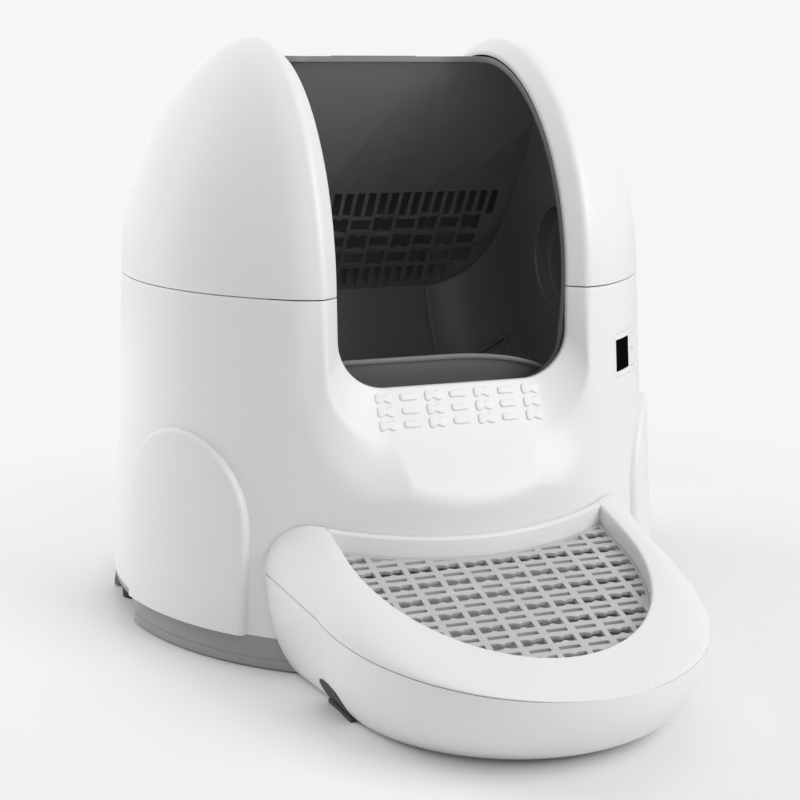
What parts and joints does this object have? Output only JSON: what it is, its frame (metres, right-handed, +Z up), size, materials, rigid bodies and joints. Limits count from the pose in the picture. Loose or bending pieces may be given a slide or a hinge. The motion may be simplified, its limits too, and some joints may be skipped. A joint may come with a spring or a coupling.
{
  "type": "self-cleaning litter box",
  "caption": "Self-cleaning litter box: turning drum with sieve panel in a white two-part body, waste drawer and grille pedal at the front.",
  "frame": {"origin": "middle of the whole box on the floor, pedal included", "axes": "+Z up, the entry and the pedal face -Y, +X to the right seen from behind the drum looking to the rear"},
  "size_m": [0.5586, 0.8257, 0.563],
  "materials": {
    "white_shell": "gloss white moulding",
    "grey_skirt": "satin mid grey",
    "dark_drum": "satin charcoal",
    "liner_grey": "soft matt dark grey",
    "light_grey": "satin light grey",
    "trim_grey": "satin mid-dark grey",
    "hub_grey": "satin grey",
    "black_rubber": "matt",
    "inner_plastic": "plain moulded",
    "bearing_plastic": "natural acetal",
    "black_lens": "polished black",
    "circuit_board": "solder mask",
    "steel": "plated",
    "black_plastic": "satin black"
  },
  "bodies": {
    "base": {"base_tray": "grey_skirt", "rubber_feet": "black_rubber", "lower_housing": "white_shell", "bush_left": "bearing_plastic", "bush_right": "bearing_plastic", "bearing_cap_left": "inner_plastic", "bearing_cap_right": "inner_plastic", "cradle_left": "inner_plastic", "cradle_right": "inner_plastic", "gearbox": "inner_plastic", "drive_motor": "steel", "waste_chute": "inner_plastic", "display_bezel": "white_shell", "display_lens": "black_lens", "display_board": "circuit_board", "button_switches": "circuit_board", "control_board": "circuit_board", "presence_sensor": "inner_plastic", "position_sensor": "inner_plastic", "power_inlet": "black_plastic", "bracket_screws": "steel", "cap_screws": "steel", "housing_screws": "steel"},
    "drum": {"drum_barrel": "dark_drum", "drum_end_left": "dark_drum", "drum_end_right": "dark_drum", "sieve_panel": "dark_drum", "litter_liner": "liner_grey", "mouth_trim": "trim_grey", "rim_tab": "trim_grey", "hub_left": "hub_grey", "hub_right": "hub_grey", "hub_nut_left": "hub_grey", "hub_nut_right": "hub_grey", "ring_gear": "bearing_plastic", "ring_gear_screws": "steel", "position_magnet": "steel"},
    "pinion": {"drive_pinion": "bearing_plastic"},
    "cover": {"upper_cover": "white_shell"},
    "drawer": {"waste_drawer": "inner_plastic", "bag_ring": "light_grey", "filter_cartridge": "inner_plastic", "pedal_lower_shell": "white_shell", "pedal_upper_shell": "white_shell", "pedal_feet": "black_rubber", "pedal_screws": "steel"},
    "grille": {"pedal_grille": "light_grey"},
    "upper_button": {"upper_button": "white_shell"},
    "lower_button": {"lower_button": "white_shell"}
  },
  "joints": [
    {"name": "drum_spin", "type": "hinge", "parent": "base", "child": "drum", "pos_m": [0, 0.124, 0.335], "axis": [1, 0, 0], "continuous": true},
    {"name": "pinion_spin", "type": "hinge", "parent": "base", "child": "pinion", "pos_m": [0, 0.124, 0.179], "axis": [1, 0, 0], "continuous": true},
    {"name": "cover_lift", "type": "slide", "parent": "base", "child": "cover", "axis": [0, 0, 1], "range_m": [0, 0.28]},
    {"name": "drawer_slide", "type": "slide", "parent": "base", "child": "drawer", "axis": [0, -1, 0], "range_m": [0, 0.32]},
    {"name": "grille_lift", "type": "slide", "parent": "drawer", "child": "grille", "axis": [0, 0, 1], "range_m": [0, 0.12]},
    {"name": "upper_button_press", "type": "slide", "parent": "base", "child": "upper_button", "axis": [-0.7443, 0.6678, 0], "range_m": [0, 0.001], "stiffness_N_per_m": 800, "springref_m": -0.0005},
    {"name": "lower_button_press", "type": "slide", "parent": "base", "child": "lower_button", "axis": [-0.7443, 0.6678, 0], "range_m": [0, 0.001], "stiffness_N_per_m": 800, "springref_m": -0.0005}
  ],
  "couplings": [
    {"joint": "pinion_spin", "follows": "drum_spin", "ratio": -3.3333}
  ]
}
